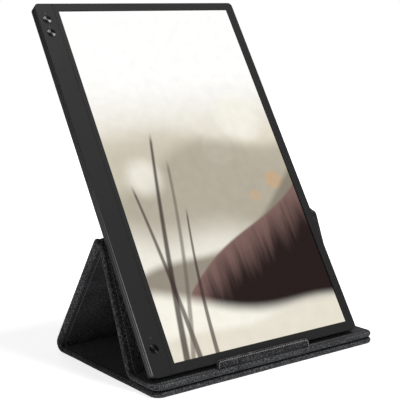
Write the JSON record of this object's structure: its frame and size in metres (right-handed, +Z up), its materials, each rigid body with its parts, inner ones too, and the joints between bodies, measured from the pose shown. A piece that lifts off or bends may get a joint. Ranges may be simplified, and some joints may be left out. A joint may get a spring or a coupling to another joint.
{
  "type": "portable monitor with folding cover",
  "caption": "Slim portable monitor standing upright and leaning back in a charcoal fabric cover folded into a triangular stand.",
  "frame": {"origin": "middle of the cover's underside, on the table", "axes": "+X to the right for someone facing the screen, +Y away from them, +Z up"},
  "size_m": [0.246, 0.1985, 0.3251],
  "materials": {
    "bezel_plastic": "fine matt texture",
    "housing_plastic": "fine matt texture",
    "button_plastic": "satin",
    "gasket_rubber": "matt foam",
    "screen_glass": "anti-glare",
    "diffuser_film": "satin",
    "clear_plastic": "clear",
    "mirror_film": "mirror",
    "led_body": "gloss",
    "frame_plastic": "matt",
    "tray_metal": "rolled",
    "circuit_board": "solder mask",
    "flat_cable": "film",
    "chip_plastic": "moulded",
    "screw_steel": "plated",
    "switch_body": "stamped",
    "insert_brass": "turned",
    "cover_fabric": "fine woven melange",
    "lining_fabric": "fine woven melange",
    "stiff_board": "pressed grey board"
  },
  "bodies": {
    "base_panel": {"base_cover": "cover_fabric", "base_lining": "lining_fabric", "base_board": "stiff_board", "base_magnets": "screw_steel", "back_crease": "cover_fabric"},
    "rear_panel": {"rear_cover": "cover_fabric", "rear_lining": "lining_fabric", "rear_board": "stiff_board", "apex_crease": "cover_fabric"},
    "support_panel": {"support_cover": "cover_fabric", "support_lining": "lining_fabric", "support_board": "stiff_board"},
    "ledge_panel": {"ledge_cover": "cover_fabric", "ledge_lining": "lining_fabric", "ledge_board": "stiff_board", "ledge_magnets": "screw_steel", "bend_crease": "cover_fabric"},
    "lip": {"lip_cover": "cover_fabric", "lip_board": "stiff_board"},
    "monitor": {"front_bezel": "bezel_plastic", "rear_housing": "housing_plastic", "bezel_gasket": "gasket_rubber", "lcd_cell": "screen_glass", "optical_sheets": "diffuser_film", "light_guide": "clear_plastic", "reflector_sheet": "mirror_film", "led_strip": "led_body", "panel_frame": "frame_plastic", "panel_tray": "tray_metal", "source_board": "circuit_board", "panel_cable": "flat_cable", "main_board": "circuit_board", "board_chips": "chip_plastic", "shield_can": "tray_metal", "board_screws": "screw_steel", "usb_socket": "tray_metal", "menu_switch_board": "circuit_board", "power_switch_board": "circuit_board", "tact_switches": "switch_body", "status_light_pipe": "clear_plastic", "tripod_insert": "insert_brass"},
    "upper_menu_key": {"menu_button_upper": "button_plastic"},
    "lower_menu_key": {"menu_button_lower": "button_plastic"},
    "power_key": {"power_button": "button_plastic"}
  },
  "joints": [
    {"name": "back_fold", "type": "hinge", "parent": "base_panel", "child": "rear_panel", "pos_m": [0, 0.0808, 0.0062], "axis": [1, 0, 0], "range_deg": [0, 19.6], "deforming": ["back_crease"]},
    {"name": "apex_fold", "type": "hinge", "parent": "rear_panel", "child": "support_panel", "pos_m": [0, -0.00185, 0.11091], "axis": [1, 0, 0], "range_deg": [-49.5, 0], "deforming": ["apex_crease"]},
    {"name": "ledge_fold", "type": "hinge", "parent": "support_panel", "child": "ledge_panel", "pos_m": [0, -0.0458, 0.0124], "axis": [1, 0, 0], "range_deg": [0, 29.95], "deforming": ["bend_crease"]},
    {"name": "monitor_lean", "type": "hinge", "parent": "ledge_panel", "child": "monitor", "pos_m": [0, -0.07322, 0.0113], "axis": [-1, 0, 0], "range_deg": [0, 25]},
    {"name": "lip_fold", "type": "hinge", "parent": "ledge_panel", "child": "lip", "pos_m": [0, -0.0836, 0.0113], "axis": [1, 0, 0], "range_deg": [0, 80], "stiffness_Nm_per_rad": 0.02, "springref_deg": -5.73},
    {"name": "upper_menu_press", "type": "slide", "parent": "monitor", "child": "upper_menu_key", "axis": [0, 0.859, -0.512], "range_m": [0, 0.0003], "stiffness_N_per_m": 400, "springref_m": -0.001},
    {"name": "lower_menu_press", "type": "slide", "parent": "monitor", "child": "lower_menu_key", "axis": [0, 0.859, -0.512], "range_m": [0, 0.0003], "stiffness_N_per_m": 400, "springref_m": -0.001},
    {"name": "power_press", "type": "slide", "parent": "monitor", "child": "power_key", "axis": [0, 0.859, -0.512], "range_m": [0, 0.0003], "stiffness_N_per_m": 400, "springref_m": -0.001}
  ],
  "couplings": [
    {"joint": "back_fold", "follows": "monitor_lean", "ratio": 0.78125},
    {"joint": "apex_fold", "follows": "monitor_lean", "ratio": -1.9766},
    {"joint": "ledge_fold", "follows": "monitor_lean", "ratio": 1.1953}
  ]
}
